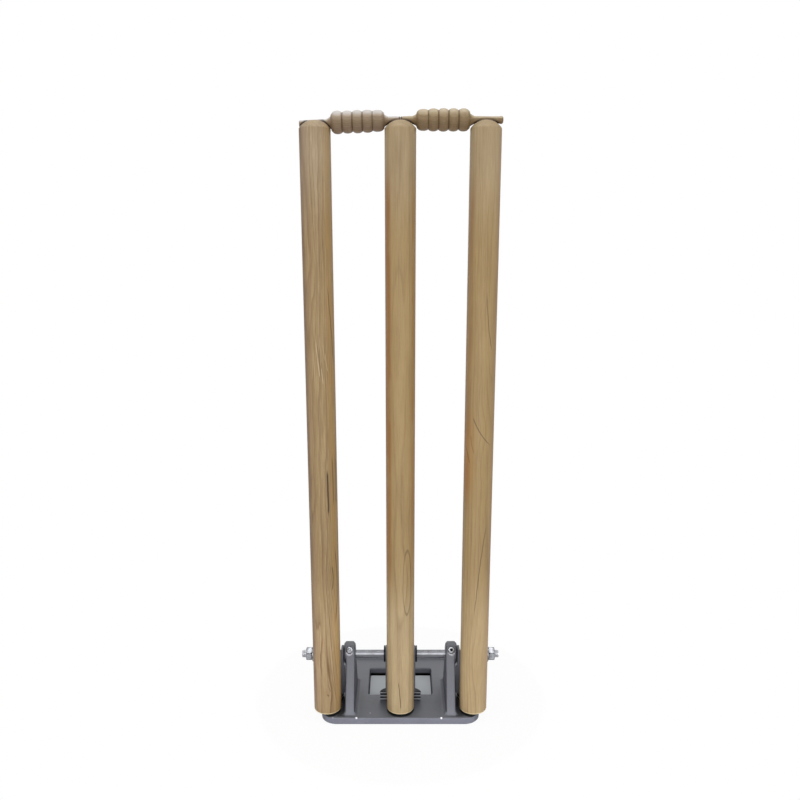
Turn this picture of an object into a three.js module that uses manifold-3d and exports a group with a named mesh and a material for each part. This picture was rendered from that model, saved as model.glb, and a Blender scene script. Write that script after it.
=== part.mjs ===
// Cricket stumps: three wooden stumps with two bails, on a cast base with spring-return hinges.
// Millimetres, +Z up. X runs along the row of stumps, and the wicket's front faces -Y.
// The origin is at the middle of the plate's underside.

import * as THREE from 'three';
import { mergeVertices } from 'three/addons/utils/BufferGeometryUtils.js';
import Module from 'manifold-3d';

const wasm = await Module();
wasm.setup();

// Stumps
const stump_height = 711;
const stump_radius = 17.25;
const stump_pitch = 93;
const crown_rise = 9;
const foot_chamfer = 1;
const foot_gap = 3;

// Base plate: its sides lie outside the outer stumps' axes, and its window between the lugs
const plate_side = 8;
const plate_depth = 153;
const plate_thickness = 10;
const plate_corner = 20;
const plate_bevel = 1.2;
const window_corner = 3;
const window_side_margin = 15.9;
const window_front_margin = 55;
const window_back_margin = 32.5;
const lip_depth = 5;
const lip_height = 3;
const stump_setback = 19;

// Lugs, one beside each outer stump
const lug_offset = 28.6;
const lug_thickness = 12;
const lug_bevel = 1.2;
const lug_front_foot = 4.5;
const lug_back_foot = 92;
const lug_fillet = 4;
const head_thickness = 15;
const head_radius = 13.5;
const head_rise = 14.5;
const head_top_width = 14;
const head_bevel = 2.6;

// Pivot rod and what it carries
const rod_radius = 5;
const rod_setback = 29.5;
const rod_height = 62.5;
const rod_chamfer = 0.8;
const rod_stub = 5.5;
const running_gap = 0.3;
const collar_radius = 10.5;
const collar_thickness = 1.9;
const collar_chamfer = 0.5;
const washer_radius = 10;
const washer_thickness = 1.5;
const nut_flats = 16;
const nut_thickness = 8;
const nut_chamfer = 1;

// Grub screws that lock the rod
const grub_radius = 4.1;
const grub_proud = 0.6;
const grub_socket_flats = 3.4;
const grub_socket_depth = 4;
const grub_elevation = THREE.MathUtils.degToRad(48);

// Hinge brackets: a web clears the lug beside it, is as wide as the ears on its other sides,
// and laps the top of its buffer
const web_clearance = 1.1;
const web_thickness = 2.6;
const web_lap = 2;
const web_corner = 4;
const shoulder_drop = 11.5;
const ear_thickness = 3;
const ear_radius = 11;
const tongue_width = 28;
const tongue_rise = 34;
const tongue_corner = 5;

// Wood screws that hold the brackets to the stumps
const screw_radius = 2.2;
const screw_length = 20;
const screw_point = 4;
const screw_head_radius = 4.2;
const screw_head_height = 2.4;
const screw_slot_width = 1;
const screw_slot_depth = 1.1;
const upper_screw_rise = 24;
const lower_screw_rise = 11;

// Return springs
const wire_radius = 1.1;
const spring_curls = 5;
const spring_pitch = 4.4;
const spring_hook_rise = 17;
const spring_hook_bend = 3;
const spring_tail_clear = 4;

// Foot buffers
const buffer_half_width = 27;
const buffer_depth = 13;
const buffer_height = 13.5;
const buffer_ribs = 3;
const buffer_rib_round = 1.2;

// Bails
const spigot_radius = 4;
const spigot_end_radius = 3.5;
const spigot_round = 1;
const groove_depth = 4.5;
const barrel_radius = 12;
const barrel_valley = 10;
const barrel_rings = 5;
const shoulder_length = 1.5;
const cone_radius = 6.5;
const cone_length = 5;
const barrel_gap = 0.6;
const bail_meeting_gap = 0.8;
const outer_spigot_overhang = 1;
const left_bail_tilt = THREE.MathUtils.degToRad(2.2);
const right_bail_tilt = 0;

// Small clearance between pieces that touch on the real object, and the overrun of every cut
const seat_gap = 0.3;
const overrun = 2;
const weld_distance = 0.0005;

// Places that follow from the sizes above, all from the middle of the plate's underside
const plate_width = 2 * (stump_pitch + plate_side);
const front_edge = -plate_depth / 2;
const back_edge = plate_depth / 2;
const stump_y = front_edge + stump_setback;
const foot_z = plate_thickness + foot_gap;
const rod_y = stump_y + rod_setback;
const rod_z = plate_thickness + rod_height;
const rod_bore = rod_radius + running_gap;
const grub_end = head_radius + grub_proud;
const lug_centre = stump_pitch - lug_offset;
const lug_inner = lug_centre - lug_thickness / 2;
const lug_outer = lug_centre + lug_thickness / 2;
const head_centre = lug_inner + head_thickness / 2;
const head_outer = lug_inner + head_thickness;
const ear_outer = stump_pitch - head_outer - running_gap;
const web_half_width = stump_pitch - lug_outer - web_clearance;
const web_foot_z = plate_thickness + buffer_height - web_lap;
const web_front = stump_radius + seat_gap;
const web_back = web_front + web_thickness;
const window_width = 2 * (lug_inner - window_side_margin);
const window_depth = plate_depth - window_front_margin - window_back_margin;
const window_front = front_edge + window_front_margin;
const spring_radius = window_front + seat_gap + wire_radius - rod_y;
const spring_half_length = spring_curls * spring_pitch / 2;
const screw_hole = screw_radius + running_gap;
const upper_screw_z = rod_z + upper_screw_rise;
const lower_screw_z = web_foot_z + lower_screw_rise;
const outer_ear_face = stump_pitch + ear_outer;
const washer_face = outer_ear_face + running_gap;
const nut_face = washer_face + washer_thickness + running_gap;
const rod_half_length = nut_face + nut_thickness + rod_stub;
const groove_radius = spigot_radius + seat_gap;
const bail_height = stump_height - groove_depth + groove_radius;
const barrel_start = stump_radius + barrel_gap;
const barrel_end = stump_pitch - stump_radius - barrel_gap;
const spigot_end = stump_pitch + stump_radius + outer_spigot_overhang;

// How round each kind of piece is
const stump_sides = 32;
const crown_steps = 5;
const bail_sides = 20;
const ring_steps = 4;
const round_sides = 20;
const rod_sides = 24;
const curl_steps = 8;
const wire_sides = 5;
const hex_sides = 6;
const bend_steps = 4;

// Colours and surfaces
function finish(color, roughness, metalness) {
  return new THREE.MeshStandardMaterial({ color, roughness, metalness });
}
const pale_wood = () => finish(0xb49c74, 0.6, 0);
const bail_wood = () => finish(0xbfae8e, 0.6, 0);
const grey_paint = () => finish(0x73757d, 0.5, 0.2);
const bare_steel = () => finish(0xa9adb3, 0.3, 0.9);
const bright_zinc = () => finish(0xc9ccd0, 0.25, 0.9);
const spring_steel = () => finish(0x4b4d52, 0.4, 0.8);
const black_rubber = () => finish(0x202226, 0.85, 0);

// A geometry with its shared vertices joined and its flat triangles dropped
function welded(geometry) {
  const bare = geometry.clone();
  bare.deleteAttribute('normal');
  bare.deleteAttribute('uv');
  const merged = mergeVertices(bare, weld_distance);
  const kept = [];
  const corners = merged.index.array;
  for (let i = 0; i < corners.length; i += 3) {
    const [a, b, c] = corners.slice(i, i + 3);
    if (a !== b && b !== c && c !== a) kept.push(a, b, c);
  }
  merged.setIndex(kept);
  return merged;
}

// A geometry as a solid that can be joined and cut
function solid(geometry) {
  const merged = welded(geometry);
  return new wasm.Manifold(new wasm.Mesh({
    numProp: 3,
    vertProperties: Float32Array.from(merged.attributes.position.array),
    triVerts: Uint32Array.from(merged.index.array),
  }));
}

// A joined or cut solid as a geometry again
function geometryOf(body) {
  const { vertProperties, triVerts } = body.getMesh();
  const geometry = new THREE.BufferGeometry();
  geometry.setAttribute('position', new THREE.BufferAttribute(vertProperties, 3));
  geometry.setIndex(new THREE.BufferAttribute(triVerts, 1));
  geometry.computeVertexNormals();
  return geometry;
}

function piece(name, geometry, material) {
  const mesh = new THREE.Mesh(geometry, material);
  mesh.name = name;
  return mesh;
}

// Turns: a shape drawn in Y and Z and extruded along X, a lathe turned about Z, a lathe turned about X
const along_x = new THREE.Matrix4().set(0, 0, 1, 0, 1, 0, 0, 0, 0, 1, 0, 0, 0, 0, 0, 1);
const turned_about_z = (points, sides) => new THREE.LatheGeometry(points, sides).rotateX(Math.PI / 2);
const turned_about_x = (points, sides) => new THREE.LatheGeometry(points, sides).rotateZ(-Math.PI / 2);

function extruded(shape, depth, bevel = 0) {
  return new THREE.ExtrudeGeometry(shape, {
    depth: depth - 2 * bevel,
    bevelEnabled: bevel > 0,
    bevelThickness: bevel,
    bevelSize: bevel,
    bevelOffset: -bevel,
    bevelSegments: 1,
    curveSegments: round_sides / 4,
  }).translate(0, 0, bevel);
}

// A plate drawn in Y and Z, standing across X with its middle at x
function cross_plate(shape, thickness, x, bevel = 0) {
  return extruded(shape, thickness, bevel).applyMatrix4(along_x).translate(x - thickness / 2, 0, 0);
}

// A rod along X from one end to the other, at a place in Y and Z
function bar(radius, length, x, y, z, sides = round_sides) {
  return new THREE.CylinderGeometry(radius, radius, length, sides).rotateZ(-Math.PI / 2).translate(x, y, z);
}

function rounded_rectangle(width, depth, corner, x, y) {
  const shape = new THREE.Shape();
  const left = x - width / 2;
  const right = x + width / 2;
  shape.moveTo(left + corner, y);
  shape.lineTo(right - corner, y);
  shape.absarc(right - corner, y + corner, corner, -Math.PI / 2, 0);
  shape.lineTo(right, y + depth - corner);
  shape.absarc(right - corner, y + depth - corner, corner, 0, Math.PI / 2);
  shape.lineTo(left + corner, y + depth);
  shape.absarc(left + corner, y + depth - corner, corner, Math.PI / 2, Math.PI);
  shape.lineTo(left, y + corner);
  shape.absarc(left + corner, y + corner, corner, Math.PI, 3 * Math.PI / 2);
  return shape;
}

function hole(x, y, radius) {
  const path = new THREE.Path();
  path.absarc(x, y, radius, 0, 2 * Math.PI, true);
  return path;
}

// A ring with a square or chamfered section, turned about X, from its inner face outwards
function ring(inner, outer, thickness, chamfer = 0) {
  const points = [new THREE.Vector2(inner, 0), new THREE.Vector2(outer - chamfer, 0)];
  if (chamfer > 0) {
    points.push(new THREE.Vector2(outer, chamfer));
    points.push(new THREE.Vector2(outer, thickness - chamfer));
  }
  points.push(new THREE.Vector2(outer - chamfer, thickness), new THREE.Vector2(inner, thickness));
  points.push(points[0].clone());
  return turned_about_x(points, round_sides);
}

// The direction from a circle's centre to where a line from a point touches it
function touch_angle(point, centre, radius, side) {
  const away = point.clone().sub(centre);
  return away.angle() + side * Math.acos(radius / away.length());
}

function plate_geometry() {
  const shape = rounded_rectangle(plate_width, plate_depth, plate_corner, 0, front_edge);
  shape.holes.push(rounded_rectangle(window_width, window_depth, window_corner, 0, window_front));
  return extruded(shape, plate_thickness, plate_bevel);
}

// The low lip that runs along the plate's back edge
function lip_geometry() {
  const width = plate_width - 2 * plate_corner;
  const depth = lip_depth - plate_bevel;
  const shape = rounded_rectangle(width, depth, depth / 3, 0, back_edge - lip_depth);
  return extruded(shape, plate_bevel + lip_height).translate(0, 0, plate_thickness - plate_bevel);
}

// A lug's side: a straight front and back that touch the circle round the rod
function lug_shape() {
  const centre = new THREE.Vector2(rod_y, rod_z);
  const sunk = plate_thickness / 2;
  const front = new THREE.Vector2(front_edge + lug_front_foot, plate_thickness);
  const back = new THREE.Vector2(front_edge + lug_back_foot, plate_thickness);
  const shape = new THREE.Shape();
  shape.moveTo(front.x, sunk);
  shape.lineTo(back.x, sunk);
  shape.lineTo(back.x, back.y);
  const rear = touch_angle(back, centre, head_radius, 1);
  const fore = touch_angle(front, centre, head_radius, -1);
  shape.absarc(centre.x, centre.y, head_radius, rear - 2 * Math.PI, fore);
  shape.lineTo(front.x, front.y);
  return shape;
}

// The thick head round the rod, with a narrow flat top
function head_shape() {
  const centre = new THREE.Vector2(rod_y, rod_z);
  const corner = new THREE.Vector2(head_top_width / 2, head_rise).add(centre);
  const reach = touch_angle(corner, centre, head_radius, -1);
  const shape = new THREE.Shape();
  shape.moveTo(corner.x, corner.y);
  shape.lineTo(corner.x - head_top_width, corner.y);
  shape.absarc(centre.x, centre.y, head_radius, Math.PI - reach, 2 * Math.PI + reach);
  return shape;
}

// The sloped run of metal round a lug's foot: a slab sunk in the plate, with its upper edge bevelled away
function lug_foot(x) {
  const half = lug_thickness / 2 + lug_fillet;
  const front = front_edge + lug_front_foot;
  const back = front_edge + lug_back_foot;
  const shape = new THREE.Shape([
    new THREE.Vector2(x - half, front),
    new THREE.Vector2(x + half, front),
    new THREE.Vector2(x + half, back),
    new THREE.Vector2(x - half, back),
  ]);
  return extruded(shape, 3 * lug_fillet, lug_fillet).translate(0, 0, plate_thickness - 2 * lug_fillet);
}

// The grub screw's own axis leaves the rod forwards and up
function turned_to_grub(geometry, x) {
  return geometry.rotateX(Math.PI / 2 - grub_elevation).translate(x, rod_y, rod_z);
}

function grub_hole(x) {
  const radius = grub_radius + running_gap;
  const length = grub_end + overrun;
  return turned_to_grub(new THREE.CylinderGeometry(radius, radius, length, round_sides)
    .rotateX(Math.PI / 2).translate(0, 0, length / 2), x);
}

function base_casting() {
  let body = solid(plate_geometry()).add(solid(lip_geometry()));
  for (const side of [-1, 1]) {
    const x = side * lug_centre;
    body = body.add(solid(cross_plate(lug_shape(), lug_thickness, x, lug_bevel)));
    body = body.add(solid(cross_plate(head_shape(), head_thickness, side * head_centre, head_bevel)));
    body = body.add(solid(lug_foot(x)));
  }
  body = body.subtract(solid(bar(rod_bore, 2 * head_outer + overrun, 0, rod_y, rod_z)));
  for (const side of [-1, 1]) {
    body = body.subtract(solid(grub_hole(side * head_centre)));
    body = body.subtract(solid(tail_hole(side)));
  }
  return piece('base_casting', geometryOf(body), grey_paint());
}

// The hole in the plate that takes an outer spring's lower leg
function tail_hole(side) {
  const radius = wire_radius + running_gap;
  const x = side * (stump_pitch - spring_half_length);
  const length = plate_thickness + overrun;
  return new THREE.CylinderGeometry(radius, radius, length, round_sides)
    .rotateX(Math.PI / 2).translate(x, rod_y + spring_radius, plate_thickness / 2);
}

function pivot_rod() {
  const points = [
    new THREE.Vector2(0, -rod_half_length),
    new THREE.Vector2(rod_radius - rod_chamfer, -rod_half_length),
    new THREE.Vector2(rod_radius, rod_chamfer - rod_half_length),
    new THREE.Vector2(rod_radius, rod_half_length - rod_chamfer),
    new THREE.Vector2(rod_radius - rod_chamfer, rod_half_length),
    new THREE.Vector2(0, rod_half_length),
  ];
  const rod = piece('pivot_rod', turned_about_x(points, rod_sides), bare_steel());
  rod.position.set(0, rod_y, rod_z);
  return rod;
}

function hex_prism(flats, length) {
  const radius = flats / 2 / Math.cos(Math.PI / hex_sides);
  return new THREE.CylinderGeometry(radius, radius, length, hex_sides);
}

function grub_screw(name, side) {
  const length = grub_end - rod_bore;
  const shank = new THREE.CylinderGeometry(grub_radius, grub_radius, length, round_sides)
    .rotateX(Math.PI / 2).translate(0, 0, rod_bore + length / 2);
  const socket_length = grub_socket_depth + overrun;
  const socket = hex_prism(grub_socket_flats, socket_length)
    .rotateX(Math.PI / 2).translate(0, 0, grub_end - grub_socket_depth + socket_length / 2);
  const body = solid(turned_to_grub(shank, 0)).subtract(solid(turned_to_grub(socket, 0)));
  const screw = piece(name, geometryOf(body), bright_zinc());
  screw.position.x = side * head_centre;
  return screw;
}

// A nut with one corner upwards
function nut(name, side) {
  const corner = nut_flats / 2 / Math.cos(Math.PI / hex_sides);
  const cone = [
    new THREE.Vector2(0, 0),
    new THREE.Vector2(corner - nut_chamfer, 0),
    new THREE.Vector2(corner + nut_chamfer, nut_chamfer),
    new THREE.Vector2(corner + nut_chamfer, nut_thickness - nut_chamfer),
    new THREE.Vector2(corner - nut_chamfer, nut_thickness),
    new THREE.Vector2(0, nut_thickness),
  ];
  const prism = hex_prism(nut_flats, nut_thickness).translate(0, nut_thickness / 2, 0).rotateZ(-Math.PI / 2);
  const body = solid(prism)
    .intersect(solid(turned_about_x(cone, round_sides)))
    .subtract(solid(bar(rod_bore, nut_thickness + overrun, nut_thickness / 2, 0, 0)));
  const mesh = piece(name, geometryOf(body), bright_zinc());
  mesh.position.set(side > 0 ? nut_face : -nut_face - nut_thickness, rod_y, rod_z);
  return mesh;
}

function washer(name, side) {
  const mesh = piece(name, ring(rod_bore, washer_radius, washer_thickness), bright_zinc());
  mesh.position.set(side > 0 ? washer_face : -washer_face - washer_thickness, rod_y, rod_z);
  return mesh;
}

// The collars keep the middle bracket in its place on the rod
function rod_collar(name, side) {
  const inner = ear_outer + running_gap;
  const geometry = ring(rod_bore, collar_radius, collar_thickness, collar_chamfer);
  const mesh = piece(name, geometry, spring_steel());
  mesh.position.set(side > 0 ? inner : -inner - collar_thickness, rod_y, rod_z);
  return mesh;
}

// The pad behind a foot: half an ellipse in plan, with rounded ribs, cut to the room on the plate
function foot_buffer(name, place) {
  const outline = (shrink) => {
    const shape = new THREE.Shape();
    const half_width = buffer_half_width - shrink;
    shape.absellipse(0, web_back + running_gap, half_width, buffer_depth - shrink, 0, Math.PI);
    return shape;
  };
  let body = solid(extruded(outline(buffer_rib_round), buffer_height));
  const rib = buffer_height / buffer_ribs;
  for (let i = 0; i < buffer_ribs; i += 1) {
    body = body.add(solid(extruded(outline(0), rib, buffer_rib_round).translate(0, 0, i * rib)));
  }
  if (place !== 0) {
    const inner = lug_outer + lug_fillet + running_gap;
    const outer = plate_width / 2 - plate_bevel;
    const reach = 2 * (web_back + buffer_depth);
    const room = new THREE.BoxGeometry(outer - inner, reach, 2 * buffer_height + overrun);
    const middle = place * ((outer + inner) / 2 - stump_pitch);
    body = body.intersect(solid(room.translate(middle, web_back, 0)));
  }
  const mesh = piece(name, geometryOf(body), black_rubber());
  mesh.position.z = plate_thickness;
  return mesh;
}

// The bracket's web seen from the front, in X and Z, with a shoulder on the side of the lug
function web_shape(place) {
  const foot = web_foot_z;
  const shoulder = rod_z - shoulder_drop;
  const ear_top = rod_z + ear_radius;
  const top = rod_z + tongue_rise;
  const left = place > 0 ? web_half_width : ear_outer;
  const right = place < 0 ? web_half_width : ear_outer;
  const tongue = tongue_width / 2;
  const shape = new THREE.Shape();
  shape.moveTo(web_corner - left, foot);
  shape.lineTo(right - web_corner, foot);
  shape.absarc(right - web_corner, foot + web_corner, web_corner, -Math.PI / 2, 0);
  if (right > ear_outer) shape.lineTo(right, shoulder);
  shape.lineTo(ear_outer, shoulder);
  shape.lineTo(ear_outer, ear_top);
  shape.lineTo(tongue, ear_top);
  shape.absarc(tongue - tongue_corner, top - tongue_corner, tongue_corner, 0, Math.PI / 2);
  shape.absarc(tongue_corner - tongue, top - tongue_corner, tongue_corner, Math.PI / 2, Math.PI);
  shape.lineTo(-tongue, ear_top);
  shape.lineTo(-ear_outer, ear_top);
  shape.lineTo(-ear_outer, shoulder);
  if (left > ear_outer) shape.lineTo(-left, shoulder);
  shape.absarc(web_corner - left, foot + web_corner, web_corner, Math.PI, 3 * Math.PI / 2);
  return shape;
}

// An ear seen from the side, in Y and Z: square at the web, round about the rod
function ear_shape() {
  const shape = new THREE.Shape();
  shape.moveTo(web_front, rod_z - ear_radius);
  shape.lineTo(rod_setback, rod_z - ear_radius);
  shape.absarc(rod_setback, rod_z, ear_radius, -Math.PI / 2, Math.PI / 2);
  shape.lineTo(web_front, rod_z + ear_radius);
  shape.holes.push(hole(rod_setback, rod_z, rod_bore));
  return shape;
}

function bracket(name, place, hand) {
  const shape = web_shape(place);
  shape.holes.push(hole(0, upper_screw_z, screw_hole));
  shape.holes.push(hole(0, lower_screw_z, screw_hole));
  shape.holes.push(hole(-hand * spring_half_length, rod_z + spring_hook_rise, wire_radius + running_gap));
  let body = solid(extruded(shape, web_thickness).rotateX(Math.PI / 2).translate(0, web_back, 0));
  for (const side of [-1, 1]) {
    const x = side * (ear_outer - ear_thickness / 2);
    body = body.add(solid(cross_plate(ear_shape(), ear_thickness, x)));
  }
  return piece(name, geometryOf(body), grey_paint());
}

// A pan-headed wood screw, driven forwards into the stump from behind the web
function wood_screw(name, z) {
  const head_face = web_back + seat_gap;
  const tip = head_face - screw_length;
  const points = [
    new THREE.Vector2(0, tip),
    new THREE.Vector2(screw_radius, tip + screw_point),
    new THREE.Vector2(screw_radius, head_face),
    new THREE.Vector2(screw_head_radius, head_face),
    new THREE.Vector2(screw_head_radius, head_face + screw_head_height / 2),
    new THREE.Vector2(screw_head_radius * 3 / 4, head_face + screw_head_height),
    new THREE.Vector2(0, head_face + screw_head_height),
  ];
  const slot_depth = screw_slot_depth + overrun;
  const slot = new THREE.BoxGeometry(2 * screw_head_radius + overrun, slot_depth, screw_slot_width);
  slot.translate(0, head_face + screw_head_height - screw_slot_depth + slot_depth / 2, 0);
  const body = solid(new THREE.LatheGeometry(points, round_sides)).subtract(solid(slot));
  const mesh = piece(name, geometryOf(body), bright_zinc());
  mesh.position.z = z;
  return mesh;
}

// Points of one return spring, from the tip of its hook to the end of its tail
function spring_path(hand) {
  const points = [];
  const hook_z = rod_z + spring_hook_rise;
  const rear_y = rod_setback + spring_radius;
  const hook_x = -hand * spring_half_length;
  const tail_x = hand * spring_half_length;
  const tip_y = web_front + seat_gap;
  const bend_y = rear_y - spring_hook_bend;
  points.push(new THREE.Vector3(hook_x, tip_y, hook_z));
  for (let i = 0; i <= bend_steps; i += 1) {
    const angle = Math.PI / 2 * (1 - i / bend_steps);
    const y = bend_y + spring_hook_bend * Math.cos(angle);
    const z = hook_z - spring_hook_bend + spring_hook_bend * Math.sin(angle);
    points.push(new THREE.Vector3(hook_x, y, z));
  }
  const steps = spring_curls * curl_steps;
  for (let i = 0; i <= steps; i += 1) {
    const angle = -2 * Math.PI * i / curl_steps;
    const x = hook_x + (tail_x - hook_x) * i / steps;
    const y = rod_setback + spring_radius * Math.cos(angle);
    const z = rod_z + spring_radius * Math.sin(angle);
    points.push(new THREE.Vector3(x, y, z));
  }
  points.push(new THREE.Vector3(tail_x, rear_y, spring_tail_clear));
  return points;
}

// One unbroken tube of wire along the points
function wire(points) {
  const positions = [];
  const index = [];
  const last = points.length - 1;
  let normal = new THREE.Vector3(1, 0, 0);
  for (let i = 0; i <= last; i += 1) {
    const before = points[Math.max(i - 1, 0)];
    const after = points[Math.min(i + 1, last)];
    const tangent = after.clone().sub(before).normalize();
    normal = normal.clone().addScaledVector(tangent, -normal.dot(tangent)).normalize();
    const binormal = tangent.clone().cross(normal);
    for (let k = 0; k < wire_sides; k += 1) {
      const angle = 2 * Math.PI * k / wire_sides;
      const spot = points[i].clone()
        .addScaledVector(normal, wire_radius * Math.cos(angle))
        .addScaledVector(binormal, wire_radius * Math.sin(angle));
      positions.push(...spot.toArray());
    }
  }
  for (let i = 0; i < last; i += 1) {
    for (let k = 0; k < wire_sides; k += 1) {
      const next = (k + 1) % wire_sides;
      const a = i * wire_sides + k;
      const b = i * wire_sides + next;
      index.push(a, b, b + wire_sides, a, b + wire_sides, a + wire_sides);
    }
  }
  for (let k = 1; k < wire_sides - 1; k += 1) {
    const end = last * wire_sides;
    index.push(0, k + 1, k, end, end + k, end + k + 1);
  }
  const geometry = new THREE.BufferGeometry();
  geometry.setAttribute('position', new THREE.Float32BufferAttribute(positions, 3));
  geometry.setIndex(index);
  geometry.computeVertexNormals();
  return geometry;
}

// The least gap between a curl and its neighbours, measured between the points of its path
function least_gap(points) {
  let least = Infinity;
  for (let i = 0; i < points.length; i += 1) {
    for (let j = i + curl_steps / 2; j < points.length; j += 1) {
      least = Math.min(least, points[i].distanceTo(points[j]) - 2 * wire_radius);
    }
  }
  return least;
}

function return_spring(name, hand) {
  const points = spring_path(hand);
  console.log(`${name}: least gap between curls ${least_gap(points).toFixed(2)} mm`);
  return piece(name, wire(points), spring_steel());
}

// A stump's outline from the middle of its foot to the middle of its domed crown
function stump_outline() {
  const dome = (stump_radius ** 2 + crown_rise ** 2) / 2 / crown_rise;
  const reach = Math.asin(stump_radius / dome);
  const points = [
    new THREE.Vector2(0, 0),
    new THREE.Vector2(stump_radius - foot_chamfer, 0),
    new THREE.Vector2(stump_radius, foot_chamfer),
  ];
  for (let i = 0; i < crown_steps; i += 1) {
    const angle = reach * (1 - i / crown_steps);
    points.push(new THREE.Vector2(dome * Math.sin(angle), stump_height - dome + dome * Math.cos(angle)));
  }
  points.push(new THREE.Vector2(0, stump_height));
  return points;
}

// The room that a bail's spigots and cone take out of a crown, open above so that the bail lifts off
function bail_room(side, place) {
  const outline = [
    new THREE.Vector2(groove_radius, -overrun),
    new THREE.Vector2(groove_radius, barrel_start),
    new THREE.Vector2(cone_radius + seat_gap, barrel_end),
    new THREE.Vector2(groove_radius, barrel_end + cone_length),
    new THREE.Vector2(groove_radius, spigot_end + overrun),
  ];
  const first = new THREE.Vector2(0, outline[0].y);
  const last = new THREE.Vector2(0, spigot_end + overrun);
  const plan = new THREE.Shape([
    ...outline.map((point) => new THREE.Vector2(point.y, -point.x)),
    ...outline.map((point) => new THREE.Vector2(point.y, point.x)).reverse(),
  ]);
  const parts = [turned_about_x([first, ...outline, last], round_sides), extruded(plan, stump_radius)];
  const [round, above] = parts.map((part) => {
    return solid(turned_to_bail(part, side).translate(-place * stump_pitch, 0, bail_height));
  });
  return round.add(above);
}

function stump(name, place) {
  const screw_depth = screw_length - web_thickness - 2 * seat_gap + running_gap;
  const screw_cut = screw_depth + overrun;
  let body = solid(turned_about_z(stump_outline(), stump_sides));
  for (const side of [-1, 1].filter((one) => one !== -place)) {
    body = body.subtract(bail_room(side, place));
  }
  for (const z of [upper_screw_z, lower_screw_z]) {
    const cut = new THREE.CylinderGeometry(screw_hole, screw_hole, screw_cut, round_sides);
    cut.translate(0, stump_radius - screw_depth + screw_cut / 2, z - foot_z);
    body = body.subtract(solid(cut));
  }
  const mesh = piece(name, geometryOf(body), pale_wood());
  mesh.position.z = foot_z;
  return mesh;
}

// A bail's outline, from its inner end to its outer end
function bail_outline() {
  const start = bail_meeting_gap / 2;
  const ring_length = (barrel_end - barrel_start - 2 * shoulder_length) / barrel_rings;
  const points = [
    new THREE.Vector2(0, start),
    new THREE.Vector2(spigot_end_radius - spigot_round, start),
    new THREE.Vector2(spigot_end_radius, start + spigot_round),
    new THREE.Vector2(spigot_radius, barrel_start),
  ];
  for (let n = 0; n < barrel_rings; n += 1) {
    const ring_start = barrel_start + shoulder_length + n * ring_length;
    for (let i = n === 0 ? 0 : 1; i <= ring_steps; i += 1) {
      const share = 2 * i / ring_steps - 1;
      const radius = barrel_valley + (barrel_radius - barrel_valley) * Math.sqrt(1 - share ** 2);
      points.push(new THREE.Vector2(radius, ring_start + ring_length * i / ring_steps));
    }
  }
  points.push(
    new THREE.Vector2(cone_radius, barrel_end),
    new THREE.Vector2(spigot_radius, barrel_end + cone_length),
    new THREE.Vector2(spigot_end_radius, spigot_end - spigot_round),
    new THREE.Vector2(spigot_end_radius - spigot_round, spigot_end),
    new THREE.Vector2(0, spigot_end),
  );
  return points;
}

// A bail shape drawn to the right of the middle stump, turned to its own side and lowered at its outer end
function turned_to_bail(geometry, side) {
  if (side < 0) geometry.rotateZ(Math.PI);
  return geometry.rotateY(side * (side < 0 ? left_bail_tilt : right_bail_tilt));
}

function bail(name, side) {
  const geometry = turned_to_bail(turned_about_x(bail_outline(), bail_sides), side);
  const mesh = piece(name, geometry, bail_wood());
  mesh.position.set(0, stump_y, foot_z + bail_height);
  return mesh;
}

// One stump with the pieces behind its foot, all measured from the stump's own axis
function stump_set(word, place) {
  const hand = place < 0 ? 1 : -1;
  const set = new THREE.Group();
  set.position.set(place * stump_pitch, stump_y, 0);
  set.add(
    stump(`stump_${word}`, place),
    bracket(`bracket_${word}`, place, hand),
    wood_screw(`bracket_screw_${word}_upper`, upper_screw_z),
    wood_screw(`bracket_screw_${word}_lower`, lower_screw_z),
    return_spring(`return_spring_${word}`, hand),
    foot_buffer(`foot_buffer_${word}`, place),
  );
  return set;
}

const wicket = new THREE.Group();
wicket.add(base_casting(), pivot_rod());
for (const [word, side] of [['left', -1], ['right', 1]]) {
  wicket.add(
    grub_screw(`set_screw_${word}`, side),
    rod_collar(`rod_collar_${word}`, side),
    washer(`washer_${word}`, side),
    nut(`nut_${word}`, side),
    bail(`bail_${word}`, side),
  );
}
for (const [word, place] of [['left', -1], ['middle', 0], ['right', 1]]) {
  wicket.add(stump_set(word, place));
}

export default wicket;
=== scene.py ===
"""Cricket stumps on a cast base with spring-return hinges: the looks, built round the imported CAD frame.

Metres, +Z up. X runs along the row of stumps, and the wicket's front faces -Y.
The origin is at the middle of the base plate's underside.
"""

import math

import bmesh
import bpy
import numpy as np
from mathutils import Matrix, Vector


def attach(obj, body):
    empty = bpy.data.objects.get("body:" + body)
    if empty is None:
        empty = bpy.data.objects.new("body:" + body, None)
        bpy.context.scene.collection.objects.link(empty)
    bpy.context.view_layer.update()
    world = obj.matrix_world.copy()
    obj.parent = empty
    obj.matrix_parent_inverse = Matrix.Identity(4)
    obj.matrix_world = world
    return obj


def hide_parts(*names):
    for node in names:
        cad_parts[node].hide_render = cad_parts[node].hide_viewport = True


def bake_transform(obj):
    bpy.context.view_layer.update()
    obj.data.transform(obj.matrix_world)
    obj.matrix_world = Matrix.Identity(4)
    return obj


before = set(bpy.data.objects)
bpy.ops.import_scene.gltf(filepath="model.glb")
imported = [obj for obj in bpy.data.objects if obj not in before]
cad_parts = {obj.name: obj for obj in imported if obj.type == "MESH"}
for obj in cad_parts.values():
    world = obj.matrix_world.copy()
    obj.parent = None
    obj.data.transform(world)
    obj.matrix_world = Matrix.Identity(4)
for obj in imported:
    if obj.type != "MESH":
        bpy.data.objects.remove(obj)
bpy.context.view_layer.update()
scene = bpy.context.scene

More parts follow.
